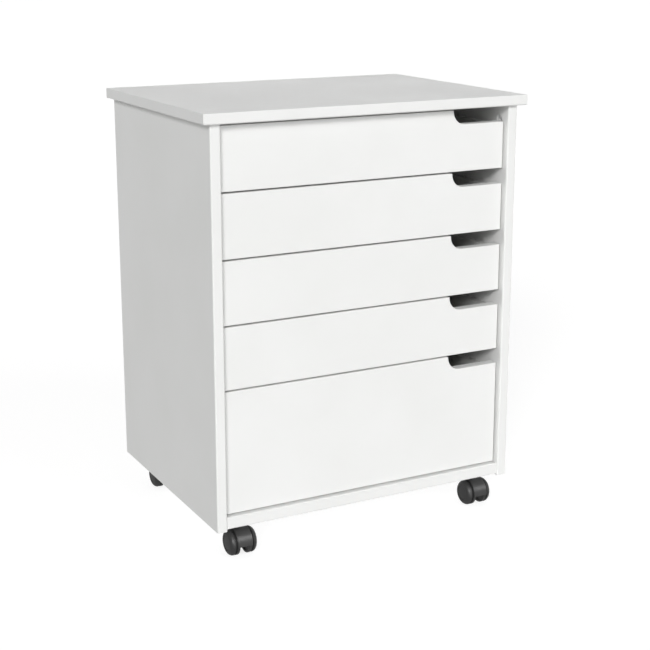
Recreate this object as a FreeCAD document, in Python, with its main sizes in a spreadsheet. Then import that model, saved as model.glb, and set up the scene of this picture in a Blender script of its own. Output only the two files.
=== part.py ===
"""Rolling pedestal cabinet: five drawers in a board carcass on four swivelling twin-wheel casters.

Frame: +Z up, the drawers open towards -Y, the origin is on the floor under the middle of the cabinet.
Lengths are in millimetres. The driving dimensions are the cells of the sheet "Dims".
"""
import FreeCAD
import Part
import Sketcher
import os
import re

SHEET = "Dims"

DIMENSIONS = {
    # carcass
    "top_width": 534,
    "side_overhang": 12.5,
    "front_overhang": 8,
    "board": 16,
    "side_depth": 385,
    "side_height": 599,
    "floor_gap": 49,
    "back_board": 3,
    "back_inset": 1,
    "bottom_board": 18,
    "bottom_rise": 2.5,
    "bottom_recess": 2.5,
    "side_rounding": 2.5,
    "top_rounding": 1.5,
    "top_lower_rounding": 2.5,
    "edge_rounding": 1,
    # drawers
    "front_height": 93.8,
    "top_front_height": 92.7,
    "deep_front_height": 187.7,
    "front_recess": 9,
    "front_side_gap": 3,
    "cut_width": 90,
    "cut_depth": 21.5,
    "cut_radius": 20,
    "box_board": 12,
    "box_rise": 6,
    "box_length": 345,
    "box_height": 62,
    "deep_box_height": 150,
    "panel_rise": 8,
    "panel_board": 3,
    "panel_slot": 3.2,
    "panel_slot_depth": 5,
    "panel_play": 0.5,
    "groove_rise": 22,
    "groove_height": 20,
    "groove_depth": 6.5,
    "runner_height": 18,
    "runner_bite": 6,
    "runner_setback": 5,
    "runner_length": 330,
    # fittings
    "cam_radius": 7.5,
    "cam_thickness": 12.5,
    "cam_distance": 24,
    "cam_inset": 24,
    "cam_back_inset": 40,
    "bottom_cam_inset": 70,
    "bolt_radius": 3.5,
    "bolt_bite": 11,
    "cam_play": 0.3,
    "dowel_radius": 4,
    "dowel_length": 30,
    "dowel_bite": 10,
    "dowel_inset": 90,
    "peg_radius": 3,
    "peg_length": 22,
    "peg_bite": 8,
    "peg_low": 16,
    "peg_drop": 10,
    "screw_radius": 1.75,
    "screw_head_radius": 3.5,
    "screw_head": 2.2,
    "screw_length": 18,
    "runner_screw_inset": 20,
    "plate_screw_length": 15,
    "nail_radius": 0.8,
    "nail_head_radius": 2.2,
    "nail_head": 0.8,
    "nail_length": 16,
    "nail_inset": 40,
    # casters
    "caster_inset_x": 45.5,
    "caster_inset_front": 40,
    "caster_inset_back": 38,
    "wheel_radius": 20,
    "wheel_width": 15,
    "wheel_rounding": 8,
    "wheel_inner_rounding": 1,
    "wheel_gap": 14.4,
    "wheel_bore_depth": 12,
    "trail": 16,
    "hood_radius": 22,
    "hood_width": 23.6,
    "hood_clear": 0.8,
    "web_width": 13.2,
    "hood_hem": 1.5,
    "hub_radius": 7,
    "axle_radius": 2.5,
    "axle_play": 0.06,
    "axle_length": 37.4,
    "swivel_radius": 10,
    "kingpin_radius": 4,
    "kingpin_length": 16,
    "plate_size": 40,
    "plate_board": 2,
    "plate_rounding": 4,
    "plate_hole_inset": 5.5,
    "swivel_play": 0.3,
}

# Sizes and places worked out from the cells above.
DERIVED = {
    "body_width": "(top_width - 2 * side_overhang)",
    "inner_width": "(body_width - 2 * board)",
    "left": "(-body_width / 2)",
    "right": "(body_width / 2)",
    "inner_left": "(left + board)",
    "inner_right": "(right - board)",
    "front": "((front_overhang - side_depth - back_board) / 2)",
    "back": "(front + side_depth)",
    "side_top": "(floor_gap + side_height)",
    "bottom_under": "(floor_gap + bottom_rise)",
    "bottom_top": "(bottom_under + bottom_board)",
    "front_width": "(inner_width - 2 * front_side_gap)",
    "front_left": "(-front_width / 2)",
    "front_right": "(front_width / 2)",
    "front_face": "(front + front_recess)",
    "box_front": "(front_face + board)",
    "box_back": "(box_front + box_length)",
    "front_gap": "((side_top - bottom_top - 4 * front_height - deep_front_height) / 6)",
    "runner_front": "(box_front + runner_setback)",
    "runner_thickness": "(front_side_gap + runner_bite)",
    "caster_x": "(body_width / 2 - caster_inset_x)",
    "caster_front": "(front + caster_inset_front)",
    "caster_back": "(back - caster_inset_back)",
    "plate_under": "(bottom_under - plate_board)",
}

SHALLOW_DRAWERS = 4
DRAWERS = SHALLOW_DRAWERS + 1
RUNNER_SCREWS = 3
SIDE_NAILS = 6
BOTTOM_NAILS = 4
PLATE_CORNERS = ((-1, -1), (-1, 1), (1, -1), (1, 1))
CASTERS = (
    ("front_left", "-caster_x", "caster_front"),
    ("front_right", "caster_x", "caster_front"),
    ("back_left", "-caster_x", "caster_back"),
    ("back_right", "caster_x", "caster_back"),
)

TURNS = {
    "z": FreeCAD.Rotation(),
    "x": FreeCAD.Rotation(FreeCAD.Vector(0, 1, 0), 90),
    "y": FreeCAD.Rotation(FreeCAD.Vector(1, 0, 0), -90),
    "mirrored": FreeCAD.Rotation(FreeCAD.Vector(0, 0, 1), 180),
}

doc = FreeCAD.newDocument("rolling_pedestal_cabinet")
nodes = []


# ---------------------------------------------------------------- tools for the document


def write_sheet():
    sheet = doc.addObject("Spreadsheet::Sheet", SHEET)
    for row, (name, value) in enumerate(DIMENSIONS.items(), start=1):
        sheet.set(f"A{row}", name)
        sheet.set(f"B{row}", str(value))
        sheet.setAlias(f"B{row}", name)
    doc.recompute()


def expression(text):
    """Spells out derived names, then points each driving dimension at its cell."""
    words = r"[a-z][a-z_]*"
    while any(word in DERIVED for word in re.findall(words, text)):
        text = re.sub(words, lambda m: DERIVED.get(m[0], m[0]), text)
    return re.sub(words, lambda m: f"{SHEET}.{m[0]}" if m[0] in DIMENSIONS else m[0], text)


def bind(thing, **sizes):
    for name, text in sizes.items():
        thing.setExpression(name, expression(text))


def place(thing, at, along="z"):
    thing.Placement = FreeCAD.Placement(FreeCAD.Vector(), TURNS[along])
    for axis, text in zip("xyz", at):
        thing.setExpression(f"Placement.Base.{axis}", expression(text))
    return thing


def box(name, at, size):
    thing = doc.addObject("Part::Box", name)
    bind(thing, Length=size[0], Width=size[1], Height=size[2])
    return place(thing, at)


def rod(name, at, along, radius, length):
    """A cylinder from the point at, towards the plus side of the axis along."""
    thing = doc.addObject("Part::Cylinder", name)
    bind(thing, Radius=radius, Height=length)
    return place(thing, at, along)


def cone(name, at, along, start_radius, end_radius, length):
    thing = doc.addObject("Part::Cone", name)
    bind(thing, Radius1=start_radius, Radius2=end_radius, Height=length)
    return place(thing, at, along)


def fuse(name, *things):
    fused = doc.addObject("Part::MultiFuse", name)
    fused.Shapes = list(things)
    return fused


def group(name, things):
    """Several separate solids as one object."""
    made = doc.addObject("Part::Compound", name)
    made.Links = list(things)
    return made


def cut(name, base, *tools):
    tool = tools[0] if len(tools) == 1 else group(name + "_tools", tools)
    made = doc.addObject("Part::Cut", name)
    made.Base = base
    made.Tool = tool
    return made


def node(label, thing):
    """Marks a finished piece: its label names its file."""
    thing.Label = label
    nodes.append(thing)
    return thing


def origin_feature(body, role):
    """One of a body's own planes or axes, such as XY_Plane or X_Axis."""
    return next(f for f in body.Origin.OriginFeatures if f.Role == role)


def outline(sketch, points):
    """A closed outline of straight sides, each corner held at its distances from the origin."""
    count = len(points)
    for i in range(count):
        start = FreeCAD.Vector(i, i * i, 0)
        after = (i + 1) % count
        end = FreeCAD.Vector(after, after * after, 0)
        sketch.addGeometry(Part.LineSegment(start, end), False)
    for i in range(count):
        sketch.addConstraint(Sketcher.Constraint("Coincident", i, 2, (i + 1) % count, 1))
    for i, (across, up) in enumerate(points):
        for kind, text, start in (("DistanceX", across, i), ("DistanceY", up, i * i)):
            held = sketch.addConstraint(Sketcher.Constraint(kind, -1, 1, i, 1, start))
            sketch.setExpression(f"Constraints[{held}]", expression(text))


def sketched_body(name, role, points):
    body = doc.addObject("PartDesign::Body", name)
    sketch = body.newObject("Sketcher::SketchObject", name + "_outline")
    sketch.AttachmentSupport = [(origin_feature(body, role), "")]
    sketch.MapMode = "FlatFace"
    outline(sketch, points)
    return body, sketch


def padded_body(name, role, points, length, backwards=False):
    body, sketch = sketched_body(name, role, points)
    pad = body.newObject("PartDesign::Pad", name + "_pad")
    pad.Profile = sketch
    pad.Reversed = backwards
    bind(pad, Length=length)
    doc.recompute()
    return body


def round_edges(body, radius, wanted):
    """Fillets the edges of the body's last feature for which wanted(edge) holds."""
    base = body.Tip
    names = [f"Edge{i}" for i, e in enumerate(base.Shape.Edges, start=1) if wanted(e)]
    fillet = body.newObject("PartDesign::Fillet", f"{body.Name}_rounding")
    fillet.Base = (base, names)
    bind(fillet, Radius=radius)
    doc.recompute()
    return fillet


def rectangle(width, height):
    return [("0", "0"), (width, "0"), (width, height), ("0", height)]


def lies_at(edge, axis, value, reach=1e-6):
    """True where the whole edge lies in the plane axis = value."""
    bounds = edge.BoundBox
    low, high = getattr(bounds, axis + "Min"), getattr(bounds, axis + "Max")
    return abs(low - value) < reach and abs(high - value) < reach


# ---------------------------------------------------------------- fittings


def cam_fittings():
    """Cam locks and the bolts that they draw in: four at the top board, four at the bottom board."""
    cams, bolts = [], []
    reach = "(cam_distance - cam_radius - cam_play)"
    cam_height = "(side_top - cam_distance)"
    bolt_height = "(bottom_under + bottom_board / 2)"
    for side, inner, sign in (("left", "inner_left", ""), ("right", "inner_right", "-")):
        edge = f"({side} + {sign}board / 2)"
        for end, y in (("front", "(front + cam_inset)"), ("back", "(back - cam_back_inset)")):
            name = f"{side}_{end}"
            face = f"({inner} - cam_thickness)" if side == "left" else inner
            cams.append(rod(f"top_cam_{name}", (face, y, cam_height), "x", "cam_radius", "cam_thickness"))
            bolts.append(rod(
                f"top_bolt_{name}", (edge, y, f"(side_top - {reach})"), "z",
                "bolt_radius", f"({reach} + bolt_bite)",
            ))
        for end, y in (("front", "(front + bottom_cam_inset)"), ("back", "(back - bottom_cam_inset)")):
            name = f"{side}_{end}"
            middle = f"({inner} + {sign}cam_distance)"
            cams.append(rod(
                f"bottom_cam_{name}", (middle, y, "bottom_under"), "z", "cam_radius", "cam_thickness",
            ))
            start = f"({inner} - bolt_bite)" if side == "left" else f"({inner} - {reach})"
            bolts.append(rod(
                f"bottom_bolt_{name}", (start, y, bolt_height), "x", "bolt_radius", f"({reach} + bolt_bite)",
            ))
    return group("cam_locks", cams), group("cam_bolts", bolts)


def carcass_dowels():
    """Wooden dowels that keep the top and bottom boards in line with the sides."""
    dowels = []
    for side, inner, sign in (("left", "inner_left", ""), ("right", "inner_right", "-")):
        edge = f"({side} + {sign}board / 2)"
        for end, y in (("front", "(front + dowel_inset)"), ("back", "(back - dowel_inset)")):
            name = f"{side}_{end}"
            low = "(side_top + dowel_bite - dowel_length)"
            dowels.append(rod(f"top_dowel_{name}", (edge, y, low), "z", "dowel_radius", "dowel_length"))
            start = f"({inner} - dowel_bite)"
            if side == "right":
                start = f"({inner} + dowel_bite - dowel_length)"
            height = "(bottom_under + bottom_board / 2)"
            dowels.append(rod(
                f"bottom_dowel_{name}", (start, y, height), "x", "dowel_radius", "dowel_length",
            ))
    return group("carcass_dowels", dowels)


def nail(name, x, z):
    """A panel nail driven in from behind, its head flush with the back board."""
    outer = "(back + back_board)"
    head = rod(name + "_head", (x, f"({outer} - nail_head)", z), "y", "nail_head_radius", "nail_head")
    shank = rod(name + "_shank", (x, f"({outer} - nail_length)", z), "y", "nail_radius", "nail_length")
    return fuse(name, head, shank)


def back_nails():
    nails = []
    for side, x in (("left", "(left + board / 2)"), ("right", "(right - board / 2)")):
        for i in range(SIDE_NAILS):
            span = f"(side_height - 2 * nail_inset) * {i} / {SIDE_NAILS - 1}"
            nails.append(nail(f"{side}_nail_{i + 1}", x, f"(floor_gap + nail_inset + {span})"))
    for i in range(BOTTOM_NAILS):
        x = f"(inner_left + inner_width * {i + 1} / {BOTTOM_NAILS + 1})"
        nails.append(nail(f"bottom_nail_{i + 1}", x, "(bottom_under + bottom_board / 2)"))
    return group("back_panel_nails", nails)


# ---------------------------------------------------------------- drawer runners


def drawer_bottom(number):
    """Height of the lower edge of a drawer's front; drawer 1 is the top one."""
    if number == DRAWERS:
        return "(bottom_top + front_gap)"
    above = DRAWERS - number
    return f"(bottom_top + {above} * front_gap + front_gap + deep_front_height + {above - 1} * front_height)"


def runner_screw(name, side, y, z):
    """A countersunk screw through a runner strip into the side panel."""
    if side == "left":
        face = "(inner_left + runner_thickness)"
        start = f"({face} - screw_length)"
        head_at = f"({face} - screw_head)"
        radii = ("screw_radius", "screw_head_radius")
    else:
        face = "(inner_right - runner_thickness)"
        start = face
        head_at = face
        radii = ("screw_head_radius", "screw_radius")
    shank = rod(name + "_shank", (start, y, z), "x", "screw_radius", "screw_length")
    head = cone(name + "_head", (head_at, y, z), "x", *radii, "screw_head")
    return fuse(name, shank, head)


def runners():
    """The strips that the drawers slide on, and the screws that hold them to the sides."""
    strips, screws = [], []
    for number in range(1, DRAWERS + 1):
        low = f"({drawer_bottom(number)} + box_rise + groove_rise + (groove_height - runner_height) / 2)"
        middle = f"({low} + runner_height / 2)"
        for side in ("left", "right"):
            name = f"runner_{number}_{side}"
            x = "inner_left" if side == "left" else "(inner_right - runner_thickness)"
            size = ("runner_thickness", "runner_length", "runner_height")
            strips.append(box(name, (x, "runner_front", low), size))
            for i in range(RUNNER_SCREWS):
                span = f"(runner_length - 2 * runner_screw_inset) * {i} / {RUNNER_SCREWS - 1}"
                y = f"(runner_front + runner_screw_inset + {span})"
                screws.append(runner_screw(f"{name}_screw_{i + 1}", side, y, middle))
    return group("runner_blanks", strips), group("runner_screws", screws)


# ---------------------------------------------------------------- carcass


def side_panel(side, tools):
    x = "left" if side == "left" else "inner_right"
    body = padded_body(f"{side}_panel", "XY_Plane", rectangle("board", "side_depth"), "side_height")
    round_edges(body, "side_rounding", lambda e: lies_at(e, "Y", 0) and e.BoundBox.ZLength > 1)
    place(body, (x, "front", "floor_gap"))
    return node(f"side_panel_{side}", cut(f"side_panel_{side}", body, *tools))


def top_panel(tools):
    outline_points = rectangle("top_width", "front_overhang + side_depth")
    body = padded_body("top_board", "XY_Plane", outline_points, "board")
    thickness = DIMENSIONS["board"]
    round_edges(body, "top_rounding", lambda e: lies_at(e, "Z", thickness))
    depth = DIMENSIONS["front_overhang"] + DIMENSIONS["side_depth"]
    round_edges(body, "top_lower_rounding", lambda e: lies_at(e, "Z", 0) and not lies_at(e, "Y", depth))
    place(body, ("-top_width / 2", "front - front_overhang", "side_top"))
    return node("top_panel", cut("top_panel", body, *tools))


def bottom_panel(tools):
    outline_points = rectangle("inner_width", "side_depth - bottom_recess")
    body = padded_body("bottom_board", "XY_Plane", outline_points, "bottom_board")
    round_edges(body, "edge_rounding", lambda e: lies_at(e, "Y", 0) and e.BoundBox.XLength > 1)
    place(body, ("inner_left", "front + bottom_recess", "bottom_under"))
    return node("bottom_panel", cut("bottom_panel", body, *tools))


def back_panel(nails):
    size = ("body_width - 2 * back_inset", "back_board", "side_top - bottom_under")
    sheet = box("back_board", ("left + back_inset", "back", "bottom_under"), size)
    return node("back_panel", cut("back_panel", sheet, nails))


# ---------------------------------------------------------------- drawers


def drawer_pegs(number, low, height):
    """Dowels that join a drawer's sides to its front and back, eight to a drawer."""
    pegs = []
    for level, z in (("low", f"({low} + peg_low)"), ("high", f"({low} + {height} - peg_drop)")):
        for side in ("left", "right"):
            name = f"drawer_{number}_{side}_{level}"
            middle = "(front_left + box_board / 2)" if side == "left" else "(front_right - box_board / 2)"
            pegs.append(rod(
                name + "_front_peg", (middle, "(box_front - peg_bite)", z), "y", "peg_radius", "peg_length",
            ))
            inner = "(front_left + box_board - peg_bite)"
            if side == "right":
                inner = "(front_right - box_board + peg_bite - peg_length)"
            y = "(box_back - box_board / 2)"
            pegs.append(rod(name + "_back_peg", (inner, y, z), "x", "peg_radius", "peg_length"))
    return group(f"drawer_{number}_pegs", pegs)


def drawer_front(number, low, height, slot, pegs):
    """The front board, with a finger cut-out that is open at its top and right edges."""
    cut_low = f"({height} - cut_depth)"
    cut_left = "(front_width - cut_width)"
    points = [
        ("0", "0"), ("front_width", "0"), ("front_width", cut_low),
        (cut_left, cut_low), (cut_left, height), ("0", height),
    ]
    body = padded_body(f"drawer_{number}_face", "XZ_Plane", points, "board", backwards=True)
    corner_x = body.Tip.Shape.BoundBox.XMax - DIMENSIONS["cut_width"]
    corner_z = DIMENSIONS[height] - DIMENSIONS["cut_depth"]
    round_edges(body, "cut_radius", lambda e: lies_at(e, "X", corner_x) and lies_at(e, "Z", corner_z))
    round_edges(body, "edge_rounding", lambda e: lies_at(e, "Y", 0))
    place(body, ("front_left", "front_face", low))
    made = cut(f"drawer_{number}_front", body, slot, pegs)
    return node(f"drawer_{number}_front", made)


def drawer_side(number, side, low, height, slot, pegs):
    """A side board with the groove that its runner strip sits in."""
    x = "front_left" if side == "left" else "(front_right - box_board)"
    name = f"drawer_{number}_side_{side}"
    board = box(name + "_board", (x, "box_front", low), ("box_board", "box_length", height))
    groove_x = "front_left" if side == "left" else "(front_right - groove_depth)"
    groove = box(
        name + "_groove", (groove_x, "box_front", f"({low} + groove_rise)"),
        ("groove_depth", "box_length", "groove_height"),
    )
    return node(name, cut(name, board, groove, slot, pegs))


def drawer_back(number, low, height, slot, pegs):
    name = f"drawer_{number}_back"
    at = ("(front_left + box_board)", "(box_back - box_board)", low)
    board = box(name + "_board", at, ("front_width - 2 * box_board", "box_board", height))
    return node(name, cut(name, board, slot, pegs))


def drawer_panel(number, low):
    """The thin bottom panel and the slot around it in the front, sides and back."""
    reach = "(box_board - panel_slot_depth)"
    inner = "(front_width - 2 * box_board + 2 * panel_slot_depth)"
    length = "(box_length - box_board + 2 * panel_slot_depth)"
    z = f"({low} + panel_rise)"
    start = "(box_front - panel_slot_depth)"
    slot = box(f"drawer_{number}_slot", (f"(front_left + {reach})", start, z), (inner, length, "panel_slot"))
    at = (f"(front_left + {reach} + panel_play)", f"({start} + panel_play)",
          f"({z} + (panel_slot - panel_board) / 2)")
    size = (f"{inner} - 2 * panel_play", f"{length} - 2 * panel_play", "panel_board")
    node(f"drawer_{number}_bottom", box(f"drawer_{number}_bottom", at, size))
    return slot


def drawer(number):
    height = {1: "top_front_height", DRAWERS: "deep_front_height"}.get(number, "front_height")
    box_height = "deep_box_height" if number == DRAWERS else "box_height"
    low = f"({drawer_bottom(number)} + box_rise)"
    slot = drawer_panel(number, low)
    pegs = drawer_pegs(number, low, box_height)
    drawer_front(number, drawer_bottom(number), height, slot, pegs)
    for side in ("left", "right"):
        drawer_side(number, side, low, box_height, slot, pegs)
    drawer_back(number, low, box_height, slot, pegs)
    node(f"drawer_{number}_dowels", pegs)


# ---------------------------------------------------------------- casters


def wheel(name, x, y, side):
    """A plastic wheel that spins on the axle, closed on its outer face."""
    body, sketch = sketched_body(name, "XY_Plane", [
        ("0", "axle_radius + axle_play"), ("wheel_bore_depth", "axle_radius + axle_play"),
        ("wheel_bore_depth", "0"), ("wheel_width", "0"),
        ("wheel_width", "wheel_radius"), ("0", "wheel_radius"),
    ])
    turned = body.newObject("PartDesign::Revolution", name + "_turned")
    turned.Profile = sketch
    turned.ReferenceAxis = (origin_feature(body, "X_Axis"), [""])
    turned.Angle = 360
    doc.recompute()
    width, radius = DIMENSIONS["wheel_width"], DIMENSIONS["wheel_radius"]
    round_edges(body, "wheel_rounding", lambda e: lies_at(e, "X", width) and e.BoundBox.ZMax > radius - 1)
    round_edges(body, "wheel_inner_rounding", lambda e: lies_at(e, "X", 0) and e.BoundBox.ZMax > radius - 1)
    if side == "left":
        place(body, (f"({x} - wheel_gap / 2)", y, "wheel_radius"), "mirrored")
    else:
        place(body, (f"({x} + wheel_gap / 2)", y, "wheel_radius"))
    return node(name, body)


def caster_hood(name, x, y, axle_y):
    """The moulded housing: a mudguard over both wheels, a web between them and the swivel boss."""
    drum = rod(name + "_drum", (f"({x} - hood_width / 2)", axle_y, "wheel_radius"), "x",
               "hood_radius", "hood_width")
    boss_low = "wheel_radius"
    boss = rod(name + "_boss", (x, y, boss_low), "z", "swivel_radius",
               f"(plate_under - swivel_play - {boss_low})")
    hem = box(name + "_hem", (f"({x} - hood_width)", f"({axle_y} - 2 * hood_radius)", "-hood_radius"),
              ("2 * hood_width", "4 * hood_radius", "hood_radius + wheel_radius - hood_hem"))
    shell = cut(name + "_shell", fuse(name + "_solid", drum, boss), hem)
    hub = rod(name + "_hub", (f"({x} - web_width / 2)", axle_y, "wheel_radius"), "x", "hub_radius", "web_width")
    clear = "(wheel_radius + hood_clear)"
    room = [
        rod(name + "_room_left", (f"({x} - web_width / 2 - hood_width)", axle_y, "wheel_radius"), "x",
            clear, "hood_width"),
        rod(name + "_room_right", (f"({x} + web_width / 2)", axle_y, "wheel_radius"), "x",
            clear, "hood_width"),
    ]
    bore = rod(name + "_bore", (f"({x} - web_width / 2)", axle_y, "wheel_radius"), "x",
               "axle_radius", "web_width")
    socket = rod(name + "_socket", (x, y, "(bottom_under - kingpin_length - swivel_play)"), "z",
                 "kingpin_radius + axle_play", "kingpin_length")
    return node(name, cut(name, fuse(name + "_moulding", shell, hub), *room, bore, socket))


def caster_plate(name, x, y):
    body = padded_body(name + "_sheet", "XY_Plane", rectangle("plate_size", "plate_size"), "plate_board")
    round_edges(body, "plate_rounding", lambda e: e.BoundBox.ZLength > 1)
    return place(body, (f"({x} - plate_size / 2)", f"({y} - plate_size / 2)", "plate_under"))


def plate_screw(name, x, y):
    """A pan-head screw up through the plate into the bottom board."""
    shank = rod(name + "_shank", (x, y, "plate_under"), "z", "screw_radius", "plate_screw_length")
    head = rod(name + "_head", (x, y, "(plate_under - screw_head)"), "z", "screw_head_radius", "screw_head")
    return fuse(name, shank, head)


def casters():
    """Four hooded twin-wheel casters; returns the screws, which also hole the bottom board."""
    plates, pins, screws = [], [], []
    for where, x, y in CASTERS:
        name = f"caster_{where}"
        axle_y = f"({y} - trail)"
        caster_hood(f"{name}_hood", x, y, axle_y)
        start = f"({x} - axle_length / 2)"
        node(f"{name}_axle", rod(f"{name}_axle", (start, axle_y, "wheel_radius"), "x",
                                 "axle_radius", "axle_length"))
        for side in ("left", "right"):
            wheel(f"{name}_wheel_{side}", x, axle_y, side)
        pins.append(rod(f"{name}_kingpin", (x, y, "(bottom_under - kingpin_length)"), "z",
                        "kingpin_radius", "kingpin_length"))
        plates.append(caster_plate(f"{name}_plate", x, y))
        for i, (across, along) in enumerate(PLATE_CORNERS, start=1):
            reach = "(plate_size / 2 - plate_hole_inset)"
            at = (f"({x} + {across} * {reach})", f"({y} + {along} * {reach})")
            screws.append(plate_screw(f"{name}_screw_{i}", *at))
    kingpins = node("caster_kingpins", group("caster_kingpins", pins))
    fixings = node("caster_screws", group("caster_screws", screws))
    drilled = [cut(p.Name + "_drilled", p, kingpins, fixings) for p in plates]
    node("caster_plates", group("caster_plates", drilled))
    return fixings


# ---------------------------------------------------------------- the whole cabinet


def build():
    write_sheet()
    cams, bolts = cam_fittings()
    dowels = carcass_dowels()
    nails = back_nails()
    strips, runner_screws = runners()
    plate_screws = casters()
    for side in ("left", "right"):
        side_panel(side, (cams, bolts, dowels, nails, runner_screws))
    top_panel((bolts, dowels))
    bottom_panel((cams, bolts, dowels, nails, plate_screws))
    back_panel(nails)
    node("runner_strips", cut("runner_strips", strips, runner_screws))
    for label, thing in (
        ("cam_locks", cams), ("cam_bolts", bolts), ("carcass_dowels", dowels),
        ("back_panel_nails", nails), ("runner_screws", runner_screws),
    ):
        node(label, thing)
    for number in range(1, DRAWERS + 1):
        drawer(number)
    doc.recompute()


def check():
    """Stops before anything is written if an object failed or a piece isn't sound."""
    for thing in doc.Objects:
        if "Invalid" in thing.State or "Error" in thing.State:
            raise RuntimeError(f"{thing.Name} failed: {thing.State}")
    for piece in nodes:
        if piece.Shape.isNull() or not piece.Shape.isValid() or not piece.Shape.Solids:
            raise RuntimeError(f"{piece.Label} has no valid shape")


def export():
    os.makedirs("parts", exist_ok=True)
    for piece in nodes:
        piece.Shape.exportStep(f"parts/{piece.Label}.step")
        print(f"{piece.Label}: {len(piece.Shape.Solids)} solid(s), {piece.Shape.Volume / 1000:.1f} cm3")


build()
check()
export()
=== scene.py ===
"""Looks of the rolling pedestal cabinet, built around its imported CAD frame.

Metres, +Z up, the drawers open towards -Y. Every piece takes its place from the frame's meshes and boxes.
The cams, screws, nails and wheels are new pieces, with detail that their CAD solids lack. Every other CAD
node shows as it is, with a material and softened edges.
"""
import math

import bmesh
import bpy
from mathutils import Matrix, Vector


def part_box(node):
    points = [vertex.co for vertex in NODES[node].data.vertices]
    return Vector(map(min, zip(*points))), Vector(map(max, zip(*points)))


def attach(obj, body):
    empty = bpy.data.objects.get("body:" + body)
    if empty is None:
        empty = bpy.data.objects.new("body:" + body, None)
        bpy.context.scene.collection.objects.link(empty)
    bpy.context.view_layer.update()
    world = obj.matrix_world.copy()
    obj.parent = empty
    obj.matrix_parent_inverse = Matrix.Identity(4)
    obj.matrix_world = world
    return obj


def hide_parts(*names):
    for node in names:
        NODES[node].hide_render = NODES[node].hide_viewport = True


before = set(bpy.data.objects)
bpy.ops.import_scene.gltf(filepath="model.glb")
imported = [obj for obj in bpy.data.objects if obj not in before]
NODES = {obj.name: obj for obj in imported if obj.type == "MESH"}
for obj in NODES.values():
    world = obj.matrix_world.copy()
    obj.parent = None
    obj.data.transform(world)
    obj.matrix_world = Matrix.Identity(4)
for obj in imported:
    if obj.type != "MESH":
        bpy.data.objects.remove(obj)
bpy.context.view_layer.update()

MM = 0.001
TINY = 1e-6

# Edges: how far boards and fittings are rounded, and which angles count as flat, as an edge and as sharp.
EDGE_ROUNDING = 0.4 * MM
FLAT_ANGLE = math.radians(0.5)
EDGE_ANGLE = math.radians(35)
SHARP_ANGLE = math.radians(28)

# Camera: where it stands in front of the left corner, and how far it turns right and looks down.
CAMERA_PLACE = (-0.996, -1.9292, 0.8869)
CAMERA_YAW = math.radians(27.843)
CAMERA_PITCH = math.radians(14.114)
CAMERA_LENS = 76.941
CAMERA_SHIFT = -0.05

# Lights: (degrees to the right of the cabinet's front, degrees up), strength, degrees across.
LAMPS = {
    "key": ((-41, 25), 1.6, 16),
    "front": ((-10, 6), 0.68, 50),
    "upper": ((26, 33), 0.64, 26),
    "fill": ((150, -12), 1.0, 60),
    "side": ((115, -24), 0.6, 40),
}

# Studio: the white all round, up to the horizon and at the zenith, and the floor and walls.
AMBIENT_LEVEL, AMBIENT_ABOVE = 0.41, 0.19
STUDIO_REACH = 20.0
FLOOR_TONE, FLOOR_GLOW = 0.35, 0.8
BACKDROP_GLOW = 0.992

# ---------------------------------------------------------------- materials


class Shader:
    """A procedural material whose patterns sit still on the piece, in metres.

    The colour and roughness given are the plain ones that its patterns vary around.
    """

    def __init__(self, name, colour, roughness, **values):
        self.material = bpy.data.materials.new(name)
        self.material.use_nodes = True
        self.tree = self.material.node_tree
        self.skin = self.tree.nodes["Principled BSDF"]
        self.skin.inputs["Base Color"].default_value = (*colour, 1)
        self.skin.inputs["Roughness"].default_value = roughness
        for socket, value in values.items():
            self.skin.inputs[socket.replace("_", " ")].default_value = value
        self.place = self.add("ShaderNodeTexCoord").outputs["Object"]

    def add(self, kind, inputs=None, **settings):
        made = self.tree.nodes.new(kind)
        for name, value in settings.items():
            setattr(made, name, value)
        for socket, value in (inputs or {}).items():
            if isinstance(value, bpy.types.NodeSocket):
                self.tree.links.new(value, made.inputs[socket])
            else:
                made.inputs[socket].default_value = value
        return made

    def stretched(self, scale):
        """Places for a pattern that is drawn out along the axes whose scale is below 1."""
        return self.add("ShaderNodeMapping", {"Vector": self.place, "Scale": scale}).outputs["Vector"]

    def noise(self, size, detail=2.0, along=None):
        """Noise whose blotches are about size metres across."""
        inputs = {"Vector": along or self.place, "Scale": 1 / size, "Detail": detail}
        return self.add("ShaderNodeTexNoise", inputs).outputs["Fac"]

    def spread(self, value, low, high, start=0.3, end=0.7):
        """Maps value from start..end to low..high."""
        inputs = {"Value": value, "From Min": start, "From Max": end, "To Min": low, "To Max": high}
        return self.add("ShaderNodeMapRange", inputs).outputs["Result"]

    def blend(self, factor, first, second):
        """Mixes two colours."""
        made = self.add("ShaderNodeMix", data_type="RGBA")
        for socket, value in ((0, factor), (6, first), (7, second)):
            if isinstance(value, bpy.types.NodeSocket):
                self.tree.links.new(value, made.inputs[socket])
            else:
                made.inputs[socket].default_value = value if socket == 0 else (*value, 1)
        return made.outputs[2]

    def sums(self, *values):
        total = values[0]
        for value in values[1:]:
            total = self.add("ShaderNodeMath", {0: total, 1: value}, operation="ADD").outputs[0]
        return total

    def drive(self, socket, value):
        """Links a pattern to one of the shader's sockets."""
        self.tree.links.new(value, self.skin.inputs[socket])

    def relief(self, *layers):
        """Bumps the surface by (height value, depth in metres) layers."""
        normal = None
        for height, depth in layers:
            inputs = {"Height": height, "Distance": depth}
            if normal:
                inputs["Normal"] = normal
            normal = self.add("ShaderNodeBump", inputs).outputs["Normal"]
        self.drive("Normal", normal)


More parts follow.
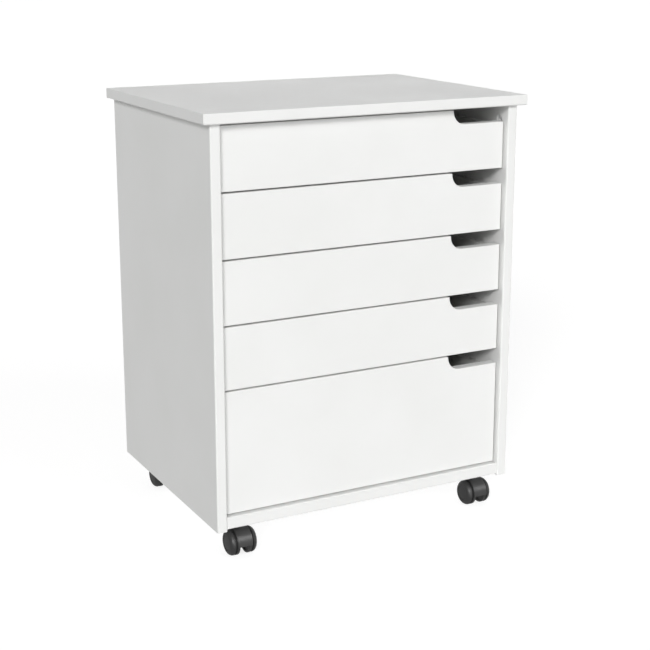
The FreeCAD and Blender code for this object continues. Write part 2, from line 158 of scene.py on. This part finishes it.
def white_lacquer():
    """Satin lacquer: a fine orange peel, and faint cloudiness in tone and gloss."""
    s = Shader("white_lacquer", (0.835, 0.838, 0.826), 0.42)
    clouds = s.noise(0.11, 3)
    s.drive("Base Color", s.blend(s.spread(clouds, 0, 1), (0.822, 0.826, 0.812), (0.845, 0.848, 0.838)))
    s.drive("Roughness", s.spread(s.sums(clouds, s.noise(0.012, 4)), 0.36, 0.48, 0.7, 1.3))
    s.relief((s.noise(0.0022, 2), 0.00002), (s.noise(0.0005, 1), 0.000006))
    return s.material


def drawer_foil():
    """Matt printed foil on the drawer boxes, with a fine pressed grain."""
    s = Shader("drawer_foil", (0.63, 0.63, 0.615), 0.6)
    grain = s.noise(0.0011, 3, s.stretched((1, 0.2, 1)))
    cloud = s.spread(s.noise(0.07, 3), 0, 1)
    s.drive("Base Color", s.blend(cloud, (0.605, 0.605, 0.59), (0.65, 0.65, 0.635)))
    s.drive("Roughness", s.spread(grain, 0.54, 0.68))
    s.relief((grain, 0.00004))
    return s.material


def hardboard():
    """Thin fibreboard with a white printed face, mottled by its fibres."""
    s = Shader("white_hardboard", (0.68, 0.675, 0.655), 0.62)
    fibres = s.noise(0.003, 6, s.stretched((1, 1, 0.5)))
    s.drive("Base Color", s.blend(s.spread(fibres, 0, 1), (0.66, 0.655, 0.632), (0.698, 0.693, 0.676)))
    s.drive("Roughness", s.spread(s.noise(0.02, 4), 0.55, 0.7))
    s.relief((fibres, 0.00005), (s.noise(0.0012, 2), 0.00002))
    return s.material


def runner_plastic():
    """White extruded plastic, drawn in fine lines along its length."""
    s = Shader("runner_plastic", (0.76, 0.76, 0.74), 0.38)
    lines = s.noise(0.0008, 2, s.stretched((1, 0.01, 1)))
    s.drive("Roughness", s.spread(lines, 0.3, 0.48))
    cloud = s.spread(s.noise(0.03, 3), 0, 1)
    s.drive("Base Color", s.blend(cloud, (0.74, 0.74, 0.715), (0.775, 0.775, 0.76)))
    s.relief((lines, 0.00003))
    return s.material


def zinc():
    """Zinc-plated steel: cloudy passivation and fine handling scratches."""
    s = Shader("zinc", (0.78, 0.79, 0.79), 0.36, Metallic=0.3)
    cloud = s.noise(0.004, 5)
    s.drive("Base Color", s.blend(s.spread(cloud, 0, 1), (0.72, 0.73, 0.74), (0.84, 0.84, 0.83)))
    s.drive("Roughness", s.spread(s.sums(cloud, s.noise(0.0006, 3)), 0.24, 0.5, 0.7, 1.3))
    s.relief((s.noise(0.0005, 3), 0.00001))
    return s.material


def beech():
    """Raw beech with its short dark flecks."""
    s = Shader("beech", (0.62, 0.42, 0.24), 0.6)
    grain = s.noise(0.002, 5)
    s.drive("Base Color", s.blend(s.spread(grain, 0, 1), (0.5, 0.31, 0.16), (0.68, 0.48, 0.29)))
    s.drive("Roughness", s.spread(grain, 0.5, 0.7))
    s.relief((grain, 0.00008))
    return s.material


def moulded_nylon(name, colour, rough_low, rough_high, gloss):
    """Dark nylon with a fine spark-eroded mould texture."""
    s = Shader(name, colour, (rough_low + rough_high) / 2, Specular_IOR_Level=gloss)
    pits = s.noise(0.0007, 3)
    cloud = s.noise(0.01, 3)
    lighter = tuple(c * 1.25 for c in colour)
    s.drive("Base Color", s.blend(s.spread(cloud, 0, 1), colour, lighter))
    s.drive("Roughness", s.spread(s.sums(pits, cloud), rough_low, rough_high, 0.7, 1.3))
    s.relief((pits, 0.00005))
    return s.material


MATERIALS = {
    "white_lacquer": white_lacquer(),
    "drawer_board": drawer_foil(),
    "white_hardboard": hardboard(),
    "runner_plastic": runner_plastic(),
    "zinc": zinc(),
    "beech": beech(),
    "caster_housing": moulded_nylon("caster_housing", (0.024, 0.024, 0.024), 0.34, 0.44, 1.0),
    "caster_wheel": moulded_nylon("caster_wheel", (0.022, 0.022, 0.022), 0.36, 0.5, 0.65),
}


def slot_of(name):
    """The record's material slot of a CAD node."""
    if "wheel" in name:
        return "caster_wheel"
    if "hood" in name:
        return "caster_housing"
    if "dowels" in name:
        return "beech"
    if name == "back_panel" or (name.startswith("drawer") and name.endswith("bottom")):
        return "white_hardboard"
    if "runner_strips" in name:
        return "runner_plastic"
    if any(word in name for word in ("cam_", "nails", "screws", "plates", "pins", "axle")):
        return "zinc"
    if name.startswith("drawer") and not name.endswith("front"):
        return "drawer_board"
    return "white_lacquer"


# ---------------------------------------------------------------- pieces


def soften(piece):
    """Rounds a piece's sharp edges by modifiers, so that the mesh itself stays as it is."""
    weld = piece.modifiers.new("weld", "WELD")
    weld.merge_threshold = TINY
    plain = piece.modifiers.new("plain_faces", "DECIMATE")
    plain.decimate_type = "DISSOLVE"
    plain.angle_limit = FLAT_ANGLE
    bevel = piece.modifiers.new("soft_edges", "BEVEL")
    bevel.width = EDGE_ROUNDING
    bevel.segments = 2
    bevel.limit_method = "ANGLE"
    bevel.angle_limit = EDGE_ANGLE
    shade = piece.modifiers.new("shading", "WEIGHTED_NORMAL")
    shade.keep_sharp = False


def dress(name, node):
    """Gives a CAD node its material and soft edges."""
    slot = slot_of(name)
    node.data.materials.clear()
    node.data.materials.append(MATERIALS[slot])
    soften(node)


# Directions around a lofted shape: enough for a smooth circle, with the corners of a cross recess.
QUADRANT = (0, 7.25, 14.5, 22, 29.5, 37.5, 45, 52.5, 60.5, 68, 75.5, 82.75)
ANGLES = [math.radians(90 * quarter + step) for quarter in range(4) for step in QUADRANT]
ARM_SLIMNESS = math.tan(math.radians(14.5))


def circle(radius):
    return [radius] * len(ANGLES)


def cross(reach):
    """Outline of a cross recess whose arms reach this far from the middle."""
    radii = []
    for angle in ANGLES:
        across, along = sorted((abs(math.sin(angle)), abs(math.cos(angle))))
        in_arm_end = across <= along * ARM_SLIMNESS + TINY
        radii.append(reach / along if in_arm_end else reach * ARM_SLIMNESS / across)
    return radii


class Piece:
    """One mesh of lofted shapes that takes a CAD node's place."""

    def __init__(self):
        self.points = []
        self.faces = []

    def loft(self, seat, rings):
        """Joins rings of (height, radii) around the seat's Z axis, in millimetres, and closes both ends."""
        first, around = len(self.points), len(ANGLES)
        for height, radii in rings:
            for angle, radius in zip(ANGLES, radii):
                spot = Vector((radius * math.cos(angle), radius * math.sin(angle), height))
                self.points.append(seat @ (spot * MM))
        for low in range(first, len(self.points) - around, around):
            for i in range(around):
                j = (i + 1) % around
                self.faces.append((low + i, low + j, low + around + j, low + around + i))
        self.faces.append(tuple(range(first + around - 1, first - 1, -1)))
        self.faces.append(tuple(range(len(self.points) - around, len(self.points))))

    def stand_in(self, node_name, body):
        """Makes the object, which rides on body in place of the CAD node."""
        mesh = bpy.data.meshes.new(node_name + "_look")
        mesh.from_pydata(self.points, [], self.faces)
        mesh.polygons.foreach_set("use_smooth", [True] * len(mesh.polygons))
        mesh.set_sharp_from_angle(angle=SHARP_ANGLE)
        mesh.materials.append(MATERIALS[slot_of(node_name)])
        piece = bpy.data.objects.new(node_name + "_look", mesh)
        bpy.context.scene.collection.objects.link(piece)
        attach(piece, body)
        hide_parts(node_name)


def solids_of(node_name):
    """Boxes (low, high) of the separate solids in one CAD node, in order of their low corners."""
    copy = bmesh.new()
    copy.from_mesh(NODES[node_name].data)
    bmesh.ops.remove_doubles(copy, verts=copy.verts, dist=TINY)
    waiting = set(copy.verts)
    boxes = []
    while waiting:
        reached = [waiting.pop()]
        for vert in reached:
            for edge in vert.link_edges:
                other = edge.other_vert(vert)
                if other in waiting:
                    waiting.remove(other)
                    reached.append(other)
        spots = [vert.co for vert in reached]
        boxes.append([Vector(pick(spot[i] for spot in spots) for i in range(3)) for pick in (min, max)])
    copy.free()
    return sorted(boxes, key=lambda box: tuple(box[0]))


def seat_at(face, outward):
    """A seat at the middle of a face, with +Z out of it."""
    return Matrix.Translation(face) @ outward.to_track_quat("Z", "Y").to_matrix().to_4x4()


def seats(node_name):
    """The seat and the length in millimetres of each round fitting of a node.

    Fittings along X show towards the middle of the cabinet, those along Y at its back, and those along Z
    from below.
    """
    for low, high in solids_of(node_name):
        size, middle = high - low, (low + high) / 2
        middling = sorted(size)[1]
        axis = max(range(3), key=lambda i: abs(size[i] - middling))
        outward = Vector((0, 0, 0))
        outward[axis] = (-math.copysign(1, middle.x), 1, -1)[axis]
        yield seat_at(middle + outward * size[axis] / 2, outward), size[axis] / MM


def cam_locks():
    """Die-cast cams, sunk a little in their bores: a raised rim around a face with a deep cross recess."""
    piece = Piece()
    for seat, length in seats("cam_locks"):
        piece.loft(seat, [
            (-length, circle(7.1)), (-length + 0.4, circle(7.5)), (-4, circle(7.5)), (-4, circle(6.8)),
            (-2, circle(6.8)), (-1.8, circle(6.7)), (-1.7, circle(6.5)), (-1.7, circle(6)),
            (-1.8, circle(5.75)), (-2.3, circle(5.6)),
            (-2.3, cross(4.4)), (-2.5, cross(4.2)), (-5.2, cross(3.6)),
        ])
    piece.stand_in("cam_locks", "cabinet")


def runner_screws():
    """Countersunk cross-head screws."""
    piece = Piece()
    for seat, length in seats("runner_screws"):
        piece.loft(seat, [
            (-length, circle(0.1)), (-length + 3, circle(1.75)), (-2.2, circle(1.75)),
            (-0.25, circle(3.35)), (-0.1, circle(3.5)), (0, circle(3.4)),
            (0, cross(2.1)), (-0.2, cross(1.9)), (-1.5, cross(0.9)),
        ])
    piece.stand_in("runner_screws", "cabinet")


def caster_screws():
    """Pan-head cross-head screws."""
    piece = Piece()
    for seat, length in seats("caster_screws"):
        piece.loft(seat, [
            (-length, circle(0.1)), (-length + 3, circle(1.75)), (-2.2, circle(1.75)),
            (-2.2, circle(3.4)), (-2.05, circle(3.5)), (-1.5, circle(3.5)), (-0.9, circle(3.3)),
            (-0.4, circle(2.9)), (-0.1, circle(2.4)),
            (0, cross(2.05)), (-0.2, cross(1.9)), (-1.7, cross(1.0)),
        ])
    piece.stand_in("caster_screws", "cabinet")


def back_panel_nails():
    """Panel nails with a slightly domed head."""
    piece = Piece()
    for seat, length in seats("back_panel_nails"):
        piece.loft(seat, [
            (-length, circle(0.1)), (-length + 1.4, circle(0.8)), (-0.8, circle(0.8)),
            (-0.8, circle(2.1)), (-0.7, circle(2.2)), (-0.35, circle(2.2)),
            (-0.15, circle(2.0)), (-0.05, circle(1.4)), (0, circle(0.6)),
        ])
    piece.stand_in("back_panel_nails", "cabinet")


# Outline of a wheel as (distance from its inner face, radius), from the axle hole round to the outer disc.
WHEEL_INNER_FACE = [
    (12, 2.56), (0, 2.56), (0, 5.2), (0.3, 5.5), (2.2, 5.9), (2.6, 6.4),
    (2.6, 15.8), (2.2, 16.4), (0.4, 16.9), (0, 17.3), (0, 19),
]
WHEEL_TREAD = [(0.1, 19.4), (0.3, 19.7), (0.6, 19.9), (1, 20), (4.2, 20), (4.5, 19.85), (4.65, 19.5)]
WHEEL_GROOVE = [(4.8, 17.6), (7.1, 17.6), (7.25, 19.4)]
WHEEL_SHOULDER = [
    (7 + 8 * math.sin(turn), 12 + 8 * math.cos(turn)) for turn in map(math.radians, range(6, 87, 5))
]
WHEEL_DISC = [
    (15, 12.1), (14.9, 11.8), (14.2, 11.6), (14.1, 11.1), (14.2, 10.8), (14.4, 10.6),
    (14.5, 10), (14.5, 0.3),
]


def caster_wheel(caster, side):
    """A wheel: hub and rim on its inner face, tread, groove beside the housing, shoulder and outer disc."""
    name = f"{caster}_wheel_{side}"
    low, high = (Vector(corner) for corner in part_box(name))
    middle = (low + high) / 2
    if side == "left":
        seat = seat_at(Vector((high.x, middle.y, middle.z)), Vector((-1, 0, 0)))
    else:
        seat = seat_at(Vector((low.x, middle.y, middle.z)), Vector((1, 0, 0)))
    outline = WHEEL_INNER_FACE + WHEEL_TREAD + WHEEL_GROOVE + WHEEL_SHOULDER + WHEEL_DISC
    piece = Piece()
    piece.loft(seat, [(height, circle(radius)) for height, radius in outline])
    piece.stand_in(name, name)


for node_name, cad_node in NODES.items():
    dress(node_name, cad_node)

cam_locks()
runner_screws()
caster_screws()
back_panel_nails()
for caster in ("caster_front_left", "caster_front_right", "caster_back_left", "caster_back_right"):
    for side in ("left", "right"):
        caster_wheel(caster, side)

# ---------------------------------------------------------------- studio


def stage_piece(name, corners, faces, tone, glow):
    """A plain pale surface that the camera sees, but that throws no light or shadow on the cabinet."""
    mesh = bpy.data.meshes.new(name)
    mesh.from_pydata(corners, [], faces)
    s = Shader(name, (tone,) * 3, 0.9)
    s.skin.inputs["Specular IOR Level"].default_value = 0
    s.skin.inputs["Emission Color"].default_value = (1, 1, 1, 1)
    s.skin.inputs["Emission Strength"].default_value = glow
    mesh.materials.append(s.material)
    piece = bpy.data.objects.new(name, mesh)
    piece.visible_diffuse = piece.visible_glossy = piece.visible_shadow = False
    bpy.context.scene.collection.objects.link(piece)


def stage():
    """The floor, and walls and a ceiling far around the cabinet."""
    square = [(STUDIO_REACH * x, STUDIO_REACH * y) for x, y in ((-1, -1), (1, -1), (1, 1), (-1, 1))]
    low = [(x, y, 0) for x, y in square]
    high = [(x, y, STUDIO_REACH) for x, y in square]
    stage_piece("studio_floor", low, [(0, 1, 2, 3)], FLOOR_TONE, FLOOR_GLOW)
    walls = [(i, (i + 1) % 4, (i + 1) % 4 + 4, i + 4) for i in range(4)]
    stage_piece("studio_backdrop", low + high, walls + [(4, 5, 6, 7)], 0, BACKDROP_GLOW)


def ambience():
    """White all round, and weaker towards the zenith."""
    world = bpy.data.worlds.new("ambience")
    world.use_nodes = True
    tree = world.node_tree
    background = tree.nodes["Background"]
    background.inputs["Color"].default_value = (1, 1, 1, 1)
    direction = tree.nodes.new("ShaderNodeTexCoord")
    height = tree.nodes.new("ShaderNodeSeparateXYZ")
    fade = tree.nodes.new("ShaderNodeMapRange")
    fade.inputs["To Min"].default_value = AMBIENT_LEVEL
    fade.inputs["To Max"].default_value = AMBIENT_ABOVE
    tree.links.new(direction.outputs["Generated"], height.inputs["Vector"])
    tree.links.new(height.outputs["Z"], fade.inputs["Value"])
    tree.links.new(fade.outputs["Result"], background.inputs["Strength"])
    bpy.context.scene.world = world


def lamp(name, source, strength, width):
    """A broad far-off light; width is the angle in degrees that it fills."""
    data = bpy.data.lights.new(name, "SUN")
    data.energy = strength
    data.angle = math.radians(width)
    light = bpy.data.objects.new(name, data)
    turn, rise = (math.radians(angle) for angle in source)
    light.rotation_euler = (math.pi / 2 - rise, 0, turn)
    bpy.context.scene.collection.objects.link(light)


def camera():
    """The camera, in front of the cabinet's left corner and a little above it."""
    data = bpy.data.cameras.new("camera")
    data.lens = CAMERA_LENS
    data.shift_y = CAMERA_SHIFT
    eye = bpy.data.objects.new("camera", data)
    eye.location = CAMERA_PLACE
    eye.rotation_euler = (math.pi / 2 - CAMERA_PITCH, 0, -CAMERA_YAW)
    bpy.context.scene.collection.objects.link(eye)
    bpy.context.scene.camera = eye


stage()
ambience()
for lamp_name, (source, strength, width) in LAMPS.items():
    lamp(lamp_name, source, strength, width)
camera()
bpy.context.scene.view_settings.view_transform = "Standard"

bpy.context.view_layer.update()
